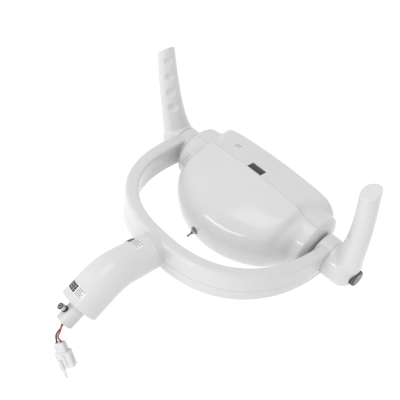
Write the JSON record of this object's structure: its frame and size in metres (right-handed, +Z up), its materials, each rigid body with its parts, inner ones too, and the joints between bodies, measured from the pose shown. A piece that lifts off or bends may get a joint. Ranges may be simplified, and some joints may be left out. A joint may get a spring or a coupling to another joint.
{
  "type": "dental operating light",
  "caption": "White dental lamp head that tilts in a C-shaped yoke with two upright grips, on a bent elbow with a swivel spigot.",
  "frame": {"origin": "on the spigot's axis, in the end face of the elbow, where the chair's light arm takes hold", "axes": "+X along the tilt axis to the light's right grip, which has the knob; +Y from the arm towards the lens side; +Z up along the grips as the light stands in the picture, turned over from its working position"},
  "size_m": [0.3607, 0.3858, 0.2218],
  "materials": {
    "white_abs": "gloss white moulded ABS, slightly cool",
    "grey_abs": "satin mid grey plastic",
    "indicator_grey": "pale grey translucent light pipe",
    "clear_lens": "clear moulded polycarbonate",
    "dark_window": "dark infrared window, glossy",
    "aluminium": "extruded, natural",
    "steel": "turned steel",
    "spigot_steel": "pale grey satin coating",
    "black_steel": "black oxide",
    "brass": "tin-free brass contact",
    "acetal": "natural acetal",
    "board": "green circuit board",
    "white_board": "white solder mask on aluminium",
    "nylon": "translucent natural nylon",
    "rubber_black": "black rubber",
    "red_wire": "red PVC insulation",
    "black_wire": "black PVC insulation"
  },
  "bodies": {
    "spigot": {"spigot_tube": "spigot_steel", "spigot_clip": "steel", "locking_nut": "black_steel", "locking_screw": "black_steel", "wire_red": "red_wire", "wire_black": "black_wire", "wire_grommet": "rubber_black", "connector_housing": "nylon", "terminal_red": "brass", "terminal_black": "brass"},
    "yoke": {"yoke_upper_shell": "white_abs", "yoke_lower_shell": "white_abs", "yoke_screw_1": "steel", "yoke_screw_2": "steel", "yoke_screw_3": "steel", "yoke_screw_4": "steel", "hub_bush_left": "acetal", "hub_bush_right": "acetal", "elbow_shell": "white_abs", "spigot_bush": "acetal"},
    "head": {"front_shell": "white_abs", "rear_shell": "white_abs", "sensor_window": "dark_window", "sensor_board": "board", "indicator_window": "indicator_grey", "lens_bezel": "grey_abs", "lens": "clear_lens", "heat_sink": "aluminium", "led_board": "white_board", "led_collimator_1": "clear_lens", "led_collimator_2": "clear_lens", "led_collimator_3": "clear_lens", "led_collimator_4": "clear_lens", "led_collimator_5": "clear_lens", "led_collimator_6": "clear_lens", "driver_board": "board", "tilt_axle_left": "steel", "axle_nut_left": "steel", "friction_washer_left": "acetal", "tilt_axle_right": "steel", "axle_nut_right": "steel", "friction_washer_right": "acetal", "grip_left": "white_abs", "grip_right": "white_abs", "dimmer_potentiometer": "steel", "toggle_bushing": "steel", "toggle_nut": "steel", "toggle_body": "grey_abs"},
    "dimmer_knob": {"intensity_knob": "grey_abs", "knob_shaft": "steel"},
    "toggle": {"toggle_lever": "steel"}
  },
  "joints": [
    {"name": "arm_swivel", "type": "hinge", "parent": "spigot", "child": "yoke", "pos_m": [0, 0, 0], "axis": [0, -0.9336, -0.3584], "range_deg": [-150, 150]},
    {"name": "head_tilt", "type": "hinge", "parent": "yoke", "child": "head", "pos_m": [0, 0.28131, -0.05464], "axis": [1, 0, 0], "range_deg": [-45, 50]},
    {"name": "dimmer_turn", "type": "hinge", "parent": "head", "child": "dimmer_knob", "pos_m": [0.175, 0.28131, -0.05784], "axis": [0.9976, 0, 0.0698], "range_deg": [-140, 140]},
    {"name": "switch_toggle", "type": "hinge", "parent": "head", "child": "toggle", "pos_m": [-0.01, 0.18271, -0.04864], "axis": [0, 0, 1], "range_deg": [-10, 10]}
  ]
}
